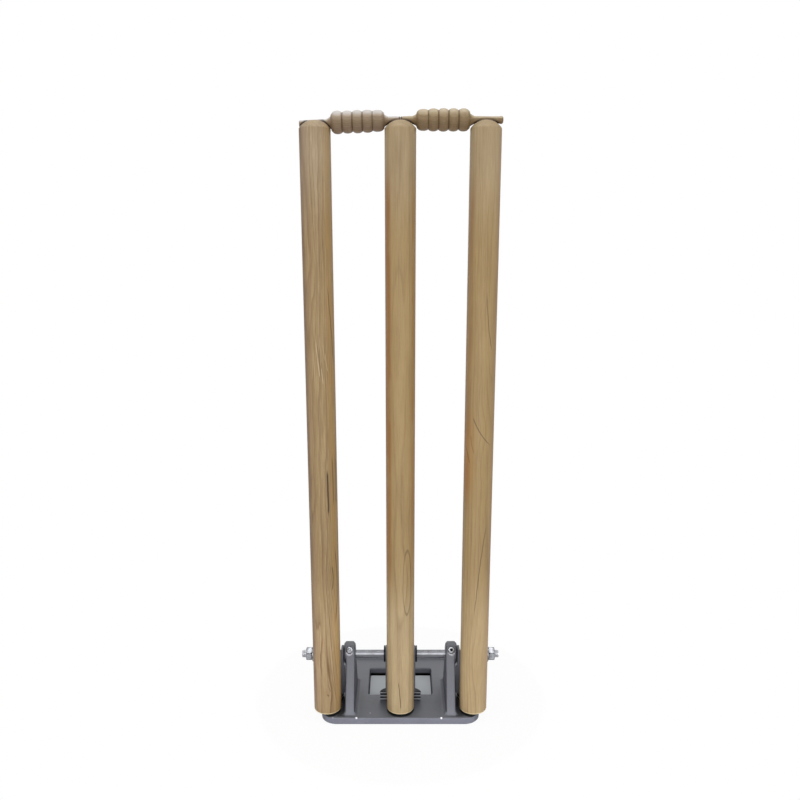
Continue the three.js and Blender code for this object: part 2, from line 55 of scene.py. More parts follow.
# Places and sizes that the looks share with the CAD, in metres
sides = {"left": -1, "middle": 0, "right": 1}
stump_pitch = 0.093
stump_radius = 0.01725
stump_y = -0.0575
foot_z = 0.013
stump_height = 0.711
crown_rise = 0.009
crown_dome = (stump_radius**2 + crown_rise**2) / 2 / crown_rise
plate_top = 0.01
bail_z = 0.7238
bail_tilts = {"left": math.radians(2.2), "right": 0}
barrel_start = 0.01785
barrel_end = 0.07515
barrel_shoulder = 0.0015
ring_count = 5
ring_length = (barrel_end - barrel_start - 2 * barrel_shoulder) / ring_count
spigot_end = 0.11125
left_spigot_cut = 0.0017
groove_radius = 0.0043
cone_radius = 0.0065
cone_length = 0.005
seat_gap = 0.0003
crown_softness = 0.0009
rim_round = 0.0004
rod_y = -0.028
rod_z = 0.0725
rod_radius = 0.005
rod_half_length = 0.1279
rod_bore = 0.0053
lug_head_x = 0.0659
grub_elevation = math.radians(48)
collar_x = 0.0196
washer_x = 0.1126
nut_x = 0.1144
web_front = stump_y + 0.01785
web_back = stump_y + 0.02045
screw_heights = {"upper": 0.0965, "lower": 0.0325}
outer_buffer_cuts = (0.0747, 0.0998)


# ---- node trees


def arithmetic(operation, swapped=False):
    """The method for one sign of arithmetic on a Value."""

    def method(value, other):
        pair = (other, value) if swapped else (value, other)
        return value.nodes.math(operation, *pair)

    return method


class Value:
    """An output of a node. Arithmetic on it adds a maths node for each sign."""

    def __init__(self, nodes, socket):
        self.nodes = nodes
        self.socket = socket

    __add__ = arithmetic("ADD")
    __radd__ = arithmetic("ADD", swapped=True)
    __sub__ = arithmetic("SUBTRACT")
    __rsub__ = arithmetic("SUBTRACT", swapped=True)
    __mul__ = arithmetic("MULTIPLY")
    __truediv__ = arithmetic("DIVIDE")
    __pow__ = arithmetic("POWER")
    __rpow__ = arithmetic("POWER", swapped=True)

    def __abs__(self):
        return self.nodes.math("ABSOLUTE", self)


class Nodes:
    """A material's or a world's node tree, built a node at a time. Most methods give back a Value."""

    def __init__(self, name, world=False):
        self.material = (bpy.data.worlds if world else bpy.data.materials).new(name)
        self.material.use_nodes = True
        self.tree = self.material.node_tree
        self.tree.nodes.clear()

    def add(self, kind, inputs, **settings):
        """Adds a node. Its inputs are plain values, Values, or outputs of other nodes."""
        node = self.tree.nodes.new(kind)
        for key, value in settings.items():
            setattr(node, key, value)
        for key, value in inputs.items():
            if isinstance(value, Value):
                value = value.socket
            if isinstance(value, bpy.types.NodeSocket):
                self.tree.links.new(value, node.inputs[key])
            else:
                node.inputs[key].default_value = value
        return node

    def out(self, kind, inputs, output=0, **settings):
        """Adds a node and gives back one of its outputs."""
        return Value(self, self.add(kind, inputs, **settings).outputs[output])

    def math(self, operation, *values, clamp=False):
        inputs = dict(enumerate(values))
        return self.out("ShaderNodeMath", inputs, operation=operation, use_clamp=clamp)

    def vector(self, operation, *values):
        output = "Value" if operation == "LENGTH" else "Vector"
        return self.out("ShaderNodeVectorMath", dict(enumerate(values)), output, operation=operation)

    def millimetres(self, centre=(0, 0, 0)):
        """Places on the piece at rest, in millimetres from a centre that is given in metres."""
        place = self.out("ShaderNodeTexCoord", {}, "Object")
        return self.vector("MULTIPLY", self.vector("SUBTRACT", place, centre), (1000, 1000, 1000))

    def axes(self, place):
        parts = self.add("ShaderNodeSeparateXYZ", {0: place})
        return [Value(self, socket) for socket in parts.outputs]

    def normal(self):
        return self.axes(self.out("ShaderNodeTexCoord", {}, "Normal"))

    def pointiness(self):
        return self.out("ShaderNodeNewGeometry", {}, "Pointiness")

    def join(self, x, y, z):
        return self.out("ShaderNodeCombineXYZ", {0: x, 1: y, 2: z})

    def distance(self, x, y):
        return self.vector("LENGTH", self.join(x, y, 0))

    def noise(self, place, scale=1, detail=2, roughness=0.5):
        inputs = {"Vector": place, "Scale": scale, "Detail": detail, "Roughness": roughness}
        return self.out("ShaderNodeTexNoise", inputs, "Fac")

    def grain(self, place, across, along, shift, **settings):
        """Noise drawn out along Z."""
        place = self.vector("MULTIPLY_ADD", place, (across, across, along), shift)
        return self.noise(place, **settings)

    def fade(self, value, start, end, low=0, high=1):
        """Goes smoothly from low at start to high at end."""
        inputs = {0: value, 1: start, 2: end, 3: low, 4: high}
        return self.out("ShaderNodeMapRange", inputs, interpolation_type="SMOOTHSTEP")

    def ramp(self, factor, stops):
        node = self.add("ShaderNodeValToRGB", {0: factor})
        elements = node.color_ramp.elements
        while len(elements) < len(stops):
            elements.new(0.5)
        for element, (position, colour) in zip(elements, stops):
            element.position = position
            element.color = (*colour, 1)
        return Value(self, node.outputs[0])

    def levels(self, factor, stops):
        return self.ramp(factor, [(position, (value, value, value)) for position, value in stops])

    def mix(self, factor, first, second):
        pair = [colour if isinstance(colour, Value) else (*colour, 1) for colour in (first, second)]
        return self.out("ShaderNodeMix", {0: factor, 6: pair[0], 7: pair[1]}, 2, data_type="RGBA")

    def layers(self, colour, *tones):
        """Lays tones over a colour, each given as its share and its colour."""
        for share, tone in tones:
            colour = self.mix(share, colour, tone)
        return colour

    def bump(self, height, distance, strength):
        inputs = {"Height": height, "Distance": distance, "Strength": strength}
        return self.out("ShaderNodeBump", inputs)

    def background_seen(self):
        """1 for rays from the camera and for those off metal or through glass."""
        path = self.add("ShaderNodeLightPath", {}).outputs
        sharp = self.math("MAXIMUM", path["Is Glossy Ray"], path["Is Transmission Ray"])
        return self.math("MAXIMUM", path["Is Camera Ray"], sharp)

    def end(self, shader, kind="ShaderNodeOutputMaterial"):
        """Ends the tree in a shader."""
        self.add(kind, {0: shader})
        return self.material

    def finish(self, **inputs):
        """Ends the tree in a Principled shader with these inputs."""
        named = {key.replace("_", " "): value for key, value in inputs.items()}
        return self.end(self.out("ShaderNodeBsdfPrincipled", named))


def srgb(red, green, blue):
    """A colour as a picture shows it, from 0 to 255, as the linear value that Blender takes."""

    def linear(value):
        share = value / 255
        return share / 12.92 if share <= 0.04045 else ((share + 0.055) / 1.055) ** 2.4

    return (linear(red), linear(green), linear(blue))


def times(colour, factor):
    return tuple(c * factor for c in colour)


# ---- wood

# A bail's painted light and shade by its normal's height, from 0 underneath to 1 on top, before
# bail_brightness
bail_gains = [
    (0.1, (0.69, 0.66, 0.62)), (0.2, (0.59, 0.55, 0.52)), (0.3, (0.47, 0.43, 0.36)),
    (0.38, (0.43, 0.39, 0.32)), (0.47, (0.48, 0.43, 0.37)), (0.56, (0.55, 0.52, 0.48)),
    (0.65, (0.66, 0.66, 0.66)), (0.72, (0.83, 0.86, 0.91)), (0.8, (0.86, 0.91, 1)), (1, (0.77, 0.77, 0.79)),
]
bail_brightness = (1.45, 1.45, 1.45)
year_ring_levels = [(0, 0.55), (0.06, 0.08), (0.45, 0.12), (0.8, 0.5), (0.94, 1), (1, 0.55)]


def drawn_line(n, x, z, x0, z0, x1, z1, bow, half_width, depth, wobble=0.8):
    """A thin line on the wood's front, from (x0, z0) to (x1, z1) with a bow, in millimetres."""
    share = (z - z0) / (z1 - z0)
    wave = n.noise(n.join(0, x0, z * 0.06), detail=3)
    middle = share * (x1 - x0) + x0 + share * (1 - share) * (4 * bow) + (wave - 0.5) * wobble
    ends = n.fade(share, 0, 0.18) * n.fade(share, 1, 0.82)
    width = ends * (half_width * 0.75) + half_width * 0.25
    return n.fade(abs(x - middle) / width, 1, 0.15) * ends * depth


def drawn_loop(n, x, z, x0, z0, half_width, half_height, width, depth):
    """One closed ring of grain on the wood's front."""
    across = abs((x - x0) / half_width)
    along = abs((z - z0) / half_height)
    wave = n.noise(n.join(x * 0.15, 0, z * 0.04))
    radius = across**2 + along**2.4 + (wave - 0.5) * 0.5
    aside = abs(radius - 1) * half_width
    return n.fade(aside, 2 * width, 0.1) * depth


def year_rings(n, place, look):
    """Dark late wood in rings about a pith outside the piece."""
    x, y, z = n.axes(place)
    seed = look["seed"]
    pith_x, pith_y = look["pith"]
    drift = n.grain(place, 0.03, 0.0045, (seed, 0, 0))
    ripple = n.grain(place, 0.12, 0.018, (0, seed, 0))
    reach = n.distance(x - z * look["lean"] - pith_x, y - pith_y)
    reach += (drift - 0.5) * look["waviness"]
    reach += (ripple - 0.5) * (look["waviness"] * 0.22)
    for x0, z0, half_width, half_height, push in look.get("bends", []):
        across = (x - x0) / half_width
        along = (z - z0) / half_height
        spread = across * across + along * along
        reach += math.e ** (spread * -1) * push
    count = reach / look["ring_width"]
    count += n.noise(n.join(count * 0.45, seed, 0)) * 1.6
    ring = n.levels(n.math("FRACT", count), year_ring_levels)
    vary = n.grain(place, 0.05, 0.006, (0, 0, seed))
    return ring * n.fade(vary, 0.3, 0.7, 0.35, 1)


def stump_painted_light_and_end_grain(n, colour, place, up, look):
    """A stump's painted light and shade: brighter towards its foot, lighter and bluer at its top, painted
    shade down both sides, painted highlights on its crown, its groove's edges and the pale cut rim of its
    foot, and dark end grain underneath.
    """
    x, y, z = place
    # Painted light: the wood is brighter and bluer towards the foot, fading out by 230 mm up.
    foot = n.vector("MULTIPLY", colour, look["foot_light_gain"])
    colour = n.mix(n.fade(z, 230, 105), colour, foot)
    # Painted light: from 590 mm up the wood is lighter and bluer.
    head = n.vector("MULTIPLY", colour, (1.09, 1.18, 1.5))
    crown = n.fade(up, 0.2, 0.6)
    return n.layers(
        colour,
        (n.fade(z, 590, 690), head),
        # Painted shade down both sides, where the round stump turns away from the light.
        (n.fade(abs(x), 15.4, 17, 0, 0.25), look["deep"]),
        # Painted highlight on the pale cut wood round the foot's rim, the lowest 2 mm of its side.
        (n.fade(z, 15.2, 14.4) * n.fade(up, -0.99, -0.93, 0, 0.85), srgb(226, 208, 168)),
        (n.fade(up, -0.93, -0.99, 0, 0.5), look["deep"]),
        # Painted highlights: a little on the crown's upward faces, more along its groove's edges.
        (crown * 0.05, srgb(216, 196, 164)),
        (crown * n.fade(abs(y), 6.6, 4.6, 0, 0.65), srgb(236, 218, 188)),
    )


def bail_shading(n, colour, place, up, look):
    """A bail's painted light and shade by the height of its normal, painted shade in its valleys and at its
    inner end, and a painted shadow just above the crowns.
    """
    y, height, x = place
    along = abs(x)
    # Painted light on faces turned upwards, painted shade on those turned downwards, and a painted
    # brightness by normal height.
    colour = n.layers(
        colour,
        (n.fade(up, 0.35, 0.95, 0, 0.7), look["lit_top"]),
        (n.fade(up, -0.1, -0.8, 0, 0.6), look["deep"]),
    )
    gain = n.ramp(up * 0.5 + 0.5, bail_gains)
    colour = n.vector("MULTIPLY", n.vector("MULTIPLY", colour, gain), bail_brightness)
    # Painted shade in the valleys between the barrel's rings.
    rings = (along - 1000 * (barrel_start + barrel_shoulder)) / (1000 * ring_length)
    valley = abs(n.math("FRACT", rings + 0.5) - 0.5)
    barrel = n.fade(abs(along - 500 * (barrel_start + barrel_end)), 24, 22)
    # Painted shadow on the bail just above each crown's dome, where it lies in the groove.
    near = n.math("MINIMUM", along, abs(along - 1000 * stump_pitch))
    away = n.distance(near, y)
    dome_centre = 1000 * (crown_dome + bail_z - foot_z - stump_height)
    drop = n.math("MAXIMUM", (1000 * crown_dome) ** 2 - away * away, 0)
    above = height - (n.math("SQRT", drop) - dome_centre)
    crown_shadow = n.fade(above, 3.2, 1.3) * n.fade(away, 19.5, 17.6) * n.fade(away, 4, 12, 0.35, 0.95)
    return n.layers(
        colour,
        (barrel * n.fade(valley, 0.1, 0.02, 0, 0.5), look["crack_and_shade"]),
        (crown_shadow, srgb(46, 32, 20)),
        # Painted shade at the inner end, where the two bails meet.
        (n.fade(along, 2.2, 1.2, 0, 0.9), look["crack_and_shade"]),
    )


def wood(name, centre, look, lengthwise="Z"):
    """Solid wood: year rings, fibres along them, the stains, wear and marks that a look lists, and painted
    light and shade.
    """
    n = Nodes(name)
    place = n.millimetres(centre)
    x, y, z = n.axes(place)
    upright = lengthwise == "Z"
    if not upright:
        x, y, z = y, z, x
        place = n.join(x, y, z)
    seed = look["seed"]
    ring = year_rings(n, place, look)
    if upright:
        ring *= n.fade(z, 320, 220, look["calm"], 1)
    fibres = n.grain(place, 1.3, 0.03, (seed, seed, 0), detail=4, roughness=0.6)
    strands = n.grain(place, 4.5, 0.09, (seed, 0, seed), detail=3, roughness=0.6)
    clouds = n.grain(place, 0.06, 0.012, (seed, 0, seed), detail=3)
    depth = look["fibre_depth"]
    dark = ring * look["ring_depth"] + (fibres - 0.5) * depth + (strands - 0.5) * (depth * 0.7)
    dark = n.math("ADD", dark + (clouds - 0.5) * 0.45, 0.3, clamp=True)
    colour = n.ramp(dark, [(0, look["pale"]), (0.35, look["main"]), (1, look["deep"])])
    for side, start, full, depth, tone, *zone in look.get("tints", []):
        tint = n.fade(x * side, start, full)
        if zone:
            z0, reach, core = zone
            tint *= n.fade(abs(z - z0), reach, reach * core)
        patch = n.grain(place, 0.09, 0.02, (seed, 9, 0))
        tint = tint * n.fade(patch, 0.3, 0.6, 0.45, 1) * depth
        colour = n.mix(tint, colour, srgb(*tone))
    pores = n.grain(place, 2.6, 0.16, (3, seed, 1), roughness=0.7)
    pores = n.fade(pores, 0.66, 0.76)
    colour = n.mix(pores * 0.35, colour, look["deep"])

    normal = n.normal()
    end_grain = n.fade(abs(normal[2 if upright else 0]), 0.35, 0.95)
    if upright:
        colour = stump_painted_light_and_end_grain(n, colour, (x, y, z), normal[2], look)
    else:
        colour = n.mix(end_grain * 0.3, colour, look["deep"])
        colour = bail_shading(n, colour, (x, y, z), normal[2], look)
    marks = 0
    if "lines" in look:
        for line in look["lines"]:
            marks = n.math("MAXIMUM", marks, drawn_line(n, x, z, *line))
        for loop in look.get("loops", []):
            marks = n.math("MAXIMUM", marks, drawn_loop(n, x, z, *loop))
        front = n.fade(y, 0, -3)
        marks *= front
        colour = n.mix(marks, colour, look["crack_and_shade"])
        for streak in look.get("streaks", []):
            colour = n.mix(drawn_line(n, x, z, *streak) * front, colour, srgb(206, 184, 148))
    smudge = n.grain(place, 0.02, 0.01, (seed, 3, 7), detail=3)
    colour = n.mix(n.fade(smudge, 0.45, 0.75, 0, 0.16), colour, look["handled"])
    height = strands * 0.6 + fibres * 0.7 - ring * 0.35 - pores * 0.5 - marks * 2.5
    return n.finish(
        Base_Color=colour,
        Roughness=n.fade(fibres, 0.2, 0.8, 0.44, 0.58) + end_grain * 0.15,
        Specular_IOR_Level=0.4,
        Normal=n.bump(height, 0.00012, 0.8),
    )


# ---- paint, metal and rubber

# Light spots on the base's paint: place and size in millimetres, colour, and how bare the metal is there
light_spots = [
    ((-55.6, -76, 9.4), 1.6, (240, 240, 242), 0.2),
    ((51.8, -76, 9.4), 1.7, (240, 240, 242), 0.2),
    ((-89, -76, 9.4), 1.6, (205, 206, 210), 0.3),
    ((-85.5, -76.1, 9.5), 1.2, (190, 191, 198), 0.3),
    ((-65.9, -38.9, 80.4), 5.4, (182, 182, 190), 0.3),
    ((65.9, -38.9, 80.4), 5, (182, 182, 188), 0.3),
    ((-38.5, -66, 10), 1.2, (150, 151, 158), 0.2),
]


def plate_painted_shadows(n, shade, place, facing_up, rub):
    """The base's painted shadows: beneath the feet, beside the lugs and on the window's far wall."""
    x, y, z = place
    top = 1000 * plate_top
    for side in sides.values():
        # Painted shadow beneath each foot, lighter in its middle.
        away = n.distance(x - 1000 * side * stump_pitch, y - 1000 * stump_y) + (rub - 0.5) * 3
        foot_shadow = n.fade(away, 18.6, 16.2) * n.fade(abs(z - top), 1.5, 0.8)
        foot_shadow *= n.fade(away, 10, 15.5, 0.45, 1)
        shade = n.mix(foot_shadow, shade, srgb(26, 26, 29))
    # Painted shadow on the plate's top between each outer foot and its lug.
    wide = abs(x)
    beside = n.fade(wide, 69.5, 71.5) * n.fade(wide, 82, 78)
    beside *= n.fade(y, -20, -26) * n.fade(y, -75, -72)
    beside *= n.fade(z, 14, 12) * n.fade(facing_up, 0.5, 0.8)
    # Painted shade on the window's far wall, black at its foot as a painted shadow where it meets the
    # floor.
    far_wall = n.fade(wide, 43.4, 43) * n.fade(y, 45.2, 44.6) * n.fade(y, 40, 42)
    far_wall *= n.fade(z, 9.6, 8.8)
    return n.layers(
        shade,
        (beside * 0.7, srgb(24, 24, 27)),
        (far_wall * 0.5, srgb(34, 37, 38)),
        (far_wall * n.fade(z, 3.4, 2.6), srgb(8, 8, 9)),
    )


def cast_paint(name, colour, coarse=1, is_base=False):
    """Grey enamel on cast iron: slightly uneven and rubbed on the edges, with painted shade in the hollows,
    on faces turned sideways or upwards and higher up, and painted light on the plate's front edge.
    """
    n = Nodes(name)
    place = n.millimetres()
    x, y, z = n.axes(place)
    facing = n.normal()
    point = n.pointiness()
    grains = n.noise(place, 0.75, detail=4, roughness=0.6)
    waves = n.noise(n.vector("ADD", place, (11, 5, 2)), 0.07, detail=3)
    patches = n.noise(n.vector("ADD", place, (4, 17, 9)), 0.025, detail=4)
    specks = n.fade(n.noise(place, 1.9, roughness=0.7), 0.68, 0.76)
    rub = n.noise(place, 0.22, detail=5, roughness=0.7)
    edge = n.fade(point, 0.53, 0.6)
    rubbed = edge * n.fade(rub, 0.42, 0.62)
    # Painted light: the plate's front edge is lighter and bluer.
    lit_plate_front = n.fade(z, 9.6, 8.4) * n.fade(facing[1], -0.4, -0.8, 0, 0.14)
    # Painted shade: faces turned upwards are darker, more so towards the front.
    shaded_top = n.fade(facing[2], 0.5, 0.8) * n.fade(y, -10, -45, 0.38, 0.5)
    shade = n.layers(
        n.mix(n.fade(patches, 0.3, 0.7), times(colour, 0.88), times(colour, 1.1)),
        (n.fade(grains, 0.3, 0.7, 0, 0.22), times(colour, 0.72)),
        (specks * 0.35, times(colour, 1.5)),
        (edge * 0.25, times(colour, 1.45)),
        (rubbed * 0.5, srgb(176, 178, 184)),
        # Painted shade: faces turned sideways are darker and bluer.
        (n.fade(abs(facing[0]), 0.5, 0.9, 0, 0.76), srgb(46, 46, 58)),
        (lit_plate_front, srgb(156, 157, 186)),
        # Painted shade: darker from 9 mm to 24 mm up, and above.
        (n.fade(z, 9, 24, 0, 0.2), srgb(40, 42, 50)),
        (shaded_top, srgb(58, 60, 62)),
        # Painted shade in the hollows.
        (n.fade(point, 0.49, 0.44) * 0.6, times(colour, 0.5)),
    )
    bare = rubbed * 0.6
    if is_base:
        shade = plate_painted_shadows(n, shade, (x, y, z), facing[2], rub)
        for spot, size, tone, bareness in light_spots:
            away = n.vector("LENGTH", n.vector("SUBTRACT", place, spot))
            away += (n.noise(place, 1.3) - 0.5) * size
            light_spot = n.fade(away, size, size * 0.6)
            shade = n.mix(light_spot, shade, srgb(*tone))
            bare = n.math("MAXIMUM", bare, light_spot * bareness)
    height = grains * coarse + waves * (4 * coarse) - bare * 1.2
    return n.finish(
        Base_Color=shade,
        Metallic=bare * 0.9,
        Roughness=n.fade(patches, 0.3, 0.7, 0.42, 0.54) + specks * 0.12,
        Specular_IOR_Level=0.45,
        Normal=n.bump(height, 0.00009, 0.9),
    )


# The rod's painted reflections: its brightness from its lower back, round the front, to its top
painted_rod_reflections = [
    (0.02, 2.2), (0.12, 3), (0.2, 1.2), (0.26, 0.7), (0.38, 0.85),
    (0.47, 1.45), (0.55, 1.5), (0.66, 1.15), (0.78, 0.75), (0.9, 1),
]
# A ramp takes values up to 1, so it holds the bands divided by this.
rod_gain = 3
# Half of the unit vector (Y, Z) that the bands are counted along, square to the view from the front
band_direction = (0.2415, 0.4379)
# Beyond this distance from the middle, in millimetres, the rod is bright
rod_bright_end = 114


def turned_steel(name, colour, rough, lines=(9, 0.05, 0.05), is_rod=False):
    """Bare steel with the fine lines of its last cut or grinding, and the rod's bands of painted
    reflection.
    """
    n = Nodes(name)
    place = n.millimetres()
    cuts = n.noise(n.vector("MULTIPLY", place, lines), detail=5, roughness=0.65)
    patches = n.noise(place, 0.12, detail=4, roughness=0.6)
    spots = n.fade(n.noise(n.vector("ADD", place, (7, 7, 7)), 0.9, detail=3), 0.62, 0.72)
    stained = tuple(c * f for c, f in zip(colour, (0.6, 0.56, 0.5)))
    shade = n.layers(
        n.mix(n.fade(cuts, 0.35, 0.65), times(colour, 0.82), times(colour, 1.1)),
        (n.fade(patches, 0.45, 0.75, 0, 0.3), stained),
        (spots * 0.3, srgb(96, 84, 70)),
    )
    if is_rod:
        # Painted reflections in bands along the rod, by its normal's direction across the view.
        _, ahead, up = n.normal()
        turn = ahead * band_direction[0] + 0.5 + up * band_direction[1]
        gain = n.levels(turn, [(position, value / rod_gain) for position, value in painted_rod_reflections])
        gain = n.vector("MULTIPLY", gain, (rod_gain, rod_gain, rod_gain))
        shade = n.vector("MULTIPLY", shade, gain)
        out = abs(n.axes(place)[0])
        tips = n.fade(out, rod_bright_end, rod_bright_end + 0.5, 0, 0.8)
        shade = n.mix(tips, shade, srgb(212, 213, 217))
    return n.finish(
        Base_Color=shade,
        Metallic=1,
        Roughness=n.fade(patches, 0.3, 0.7, rough - 0.05, rough + 0.1) + (cuts - 0.5) * 0.16,
        Normal=n.bump(cuts, 0.00002, 0.6),
    )


def zinc(name, grime_and_shade=0):
    """Bright zinc plating: faint crystals, dull patches, and any grimy edges, with painted shade on the
    undersides.
    """
    n = Nodes(name)
    place = n.millimetres()
    crystals = n.out("ShaderNodeTexVoronoi", {"Vector": place, "Scale": 0.55}, "Color")
    facet = n.axes(crystals)[0]
    patches = n.noise(place, 0.3, detail=4, roughness=0.6)
    fine = n.noise(place, 3, detail=3)
    shade = n.mix(n.fade(facet, 0, 1, 0.2, 0.8), srgb(136, 138, 143), srgb(196, 198, 203))
    shade = n.mix(n.fade(patches, 0.55, 0.75, 0, 0.4), shade, srgb(112, 112, 115))
    if grime_and_shade:
        # Painted shade on faces turned downwards, and grimy edges.
        under = n.fade(n.normal()[2], -0.2, -0.8, 0, 0.8)
        grimy_shaded = n.math("MAXIMUM", n.fade(n.pointiness(), 0.52, 0.57), under)
        shade = n.mix(grimy_shaded * grime_and_shade, shade, srgb(52, 53, 58))
    return n.finish(
        Base_Color=shade,
        Metallic=1,
        Roughness=n.fade(facet, 0, 1, 0.22, 0.36) + n.fade(patches, 0.5, 0.75) * 0.2,
        Normal=n.bump(fine + patches * 2, 0.00003, 0.7),
    )


def rubber(name):
    """Black moulded rubber with a painted highlight on the crests of its ribs, and dusty between them."""
    n = Nodes(name)
    place = n.millimetres()
    skin = n.noise(place, 1.6, detail=4, roughness=0.65)
    dust = n.noise(place, 0.16, detail=4, roughness=0.6)
    rib = n.math("FRACT", (n.axes(place)[2] - 1000 * plate_top) / 4.5)
    crest = n.fade(abs(rib - 0.5), 0.24, 0.08)
    # Painted highlight along each rib's crest, patchy with the noise of the rubber's skin.
    rib_highlight = crest * n.fade(skin, 0.25, 0.7, 0.5, 1)
    shade = n.mix(rib_highlight, srgb(27, 28, 31), srgb(168, 172, 180))
    shade = n.mix(n.fade(dust, 0.45, 0.75, 0, 0.22), shade, srgb(122, 119, 114))
    return n.finish(
        Base_Color=shade,
        Roughness=n.fade(skin, 0.3, 0.7, 0.6, 0.8),
        Specular_IOR_Level=0.35,
        Normal=n.bump(skin, 0.00008, 0.7),
    )


# ---- mesh code


def lattice(rows, wrap_rows=False, wrap_columns=True, onto=None):
    """A grid of points, row by row, and the faces between them, added onto any other grid."""
    points, faces = onto or ([], [])
    start = len(points)
    height = len(rows)
    width = len(rows[0])
    for row in rows:
        points.extend(tuple(p) for p in row)
    for i in range(height if wrap_rows else height - 1):
        for j in range(width if wrap_columns else width - 1):
            a = start + i * width + j
            b = start + i * width + (j + 1) % width
            c = start + ((i + 1) % height) * width + (j + 1) % width
            d = start + ((i + 1) % height) * width + j
            faces.append((a, b, c, d))
    return points, faces


def tube(rings, onto=None):
    """A tube through rings, with a flat face over each end, or only the last if it goes onto a grid."""
    points, faces = lattice(rings, onto=onto)
    count = len(rings[0])
    if not onto:
        faces.append(tuple(range(count)))
    faces.append(tuple(range(len(points) - count, len(points))))
    return points, faces


def round_steps(count):
    return [2 * math.pi * k / count for k in range(count)]


def polar(spots):
    """A ring of points, evenly spaced, from a (radius, height) pair for each."""
    angles = round_steps(len(spots))
    return [(r * math.cos(a), r * math.sin(a), h) for a, (r, h) in zip(angles, spots)]


def turned(outline, count=72):
    """Rings of points about Z, from (radius, height) pairs."""
    return [polar([spot] * count) for spot in outline]


def border(rows):
    """The points round the edge of a grid, in order."""
    last = [row[-1] for row in rows[:-1]]
    first = [row[0] for row in rows[:0:-1]]
    return rows[0][:-1] + last + rows[-1][:0:-1] + first


def level_ring(loop, radius, height):
    """A round ring at a height, its points in line with those of a loop."""
    scales = [radius / math.hypot(x, y) for x, y, _ in loop]
    return [(x * scale, y * scale, height) for scale, (x, y, _) in zip(scales, loop)]


def hexagon(flats, angle):
    """The radius of a hexagon at an angle, from its width across flats."""
    return flats / 2 / math.cos(angle % (math.pi / 3) - math.pi / 6)


def linked(name, data):
    obj = bpy.data.objects.new(name, data)
    scene.collection.objects.link(obj)
    return obj


def built(name, grid, place, crease):
    """A closed mesh in its place, welded and smooth, with sharp edges at turns over crease degrees."""
    points, faces = grid
    mesh = bpy.data.meshes.new(name)
    mesh.from_pydata([tuple(place @ Vector(p)) for p in points], [], faces)
    work = bmesh.new()
    work.from_mesh(mesh)
    bmesh.ops.remove_doubles(work, verts=work.verts, dist=1e-6)
    bmesh.ops.dissolve_degenerate(work, edges=work.edges, dist=1e-7)
    bmesh.ops.recalc_face_normals(work, faces=work.faces)
    work.normal_update()
    for face in work.faces:
        face.smooth = True
    for edge in work.edges:
        flat = edge.calc_face_angle(0) < math.radians(crease)
        edge.smooth = len(edge.link_faces) == 2 and flat
    work.to_mesh(mesh)
    work.free()
    return linked(name, mesh)


# ---- stumps and bails


def bail_room(x, side):
    """The half width of a bail's room in a crown at x, and the height of its axis there."""
    across = side * stump_pitch + x
    word = "left" if side < 0 or (side == 0 and x < 0) else "right"
    distance = abs(across)
    axis = bail_z - foot_z - distance * math.tan(bail_tilts[word])
    if distance < stump_pitch / 2:
        return groove_radius, axis
    ends = [barrel_end, barrel_end + cone_length]
    return float(np.interp(distance, ends, [cone_radius + seat_gap, groove_radius])), axis


def crown_height(x, y, side):
    """A crown's height above the foot, with its edges eased down into the groove."""
    height = stump_height - crown_dome
    height += math.sqrt(crown_dome**2 - min(x * x + y * y, stump_radius**2))
    radius, axis = bail_room(x, side)
    beyond = abs(y) - radius
    if beyond < 0:
        return min(height, axis - math.sqrt(radius**2 - y**2))
    if beyond < crown_softness:
        eased = height - 0.6 * crown_softness * (1 - beyond / crown_softness) ** 2
        height = max(min(height, axis), eased)
    return height


def crown_rows():
    """The crown grid's places along Y: even steps, and close ones at both edges of the groove."""
    rim = stump_radius - rim_round
    rows = [rim * math.sin(math.radians(a)) for a in range(-90, 91, 3)]
    rows = [y for y in rows if abs(abs(y) - groove_radius) > crown_softness * 1.3]
    for offset in (-0.0007, -0.0002, -0.00002, 0.00002, 0.00025, 0.0005, 0.0009):
        rows += [groove_radius + offset, -groove_radius - offset]
    return sorted(rows)


def crown_point(share, y, side):
    """A point of the crown's grid, its row moved aside where the bail's room is wider than the groove."""
    rim = stump_radius - rim_round
    x = share * math.sqrt(max(rim**2 - y**2, 0))
    wider = bail_room(x, side)[0] - groove_radius
    if abs(y) <= groove_radius:
        y *= 1 + wider / groove_radius
    else:
        near = groove_radius + crown_softness
        y += math.copysign(wider, y) * min(1, (rim - abs(y)) / (rim - near))
    x = share * math.sqrt(max(rim**2 - y**2, 0))
    return (x, y, crown_height(x, y, side))


def stump_mesh(name, side):
    """A turned stump: a fine grid over the grooved crown, and plain rings down to the foot."""
    columns = [math.sin(math.pi / 2 * (i / 24 - 1)) for i in range(49)]
    rows = [[crown_point(share, y, side) for share in columns] for y in crown_rows()[1:-1]]
    loop = border(rows)
    rings = [loop]
    for radius, drop in [(stump_radius - 0.00012, 0.0001), (stump_radius, 0.0005), (stump_radius, 0.004)]:
        ring = level_ring(loop, radius, 0)
        rings.append([(x, y, crown_height(x, y, side) - drop) for x, y, _ in ring])
    foot = [(0, 0.0015), (0.0002, 0.0007), (0.0007, 0.0002), (0.0014, 0)]
    for inset, height in [(0, stump_height - 0.03), (0, 0.06), *foot]:
        rings.append(level_ring(loop, stump_radius - inset, height))
    grid = tube(rings, onto=lattice(rows, wrap_columns=False))
    return built(name, grid, Matrix.Translation((side * stump_pitch, stump_y, foot_z)), crease=40)


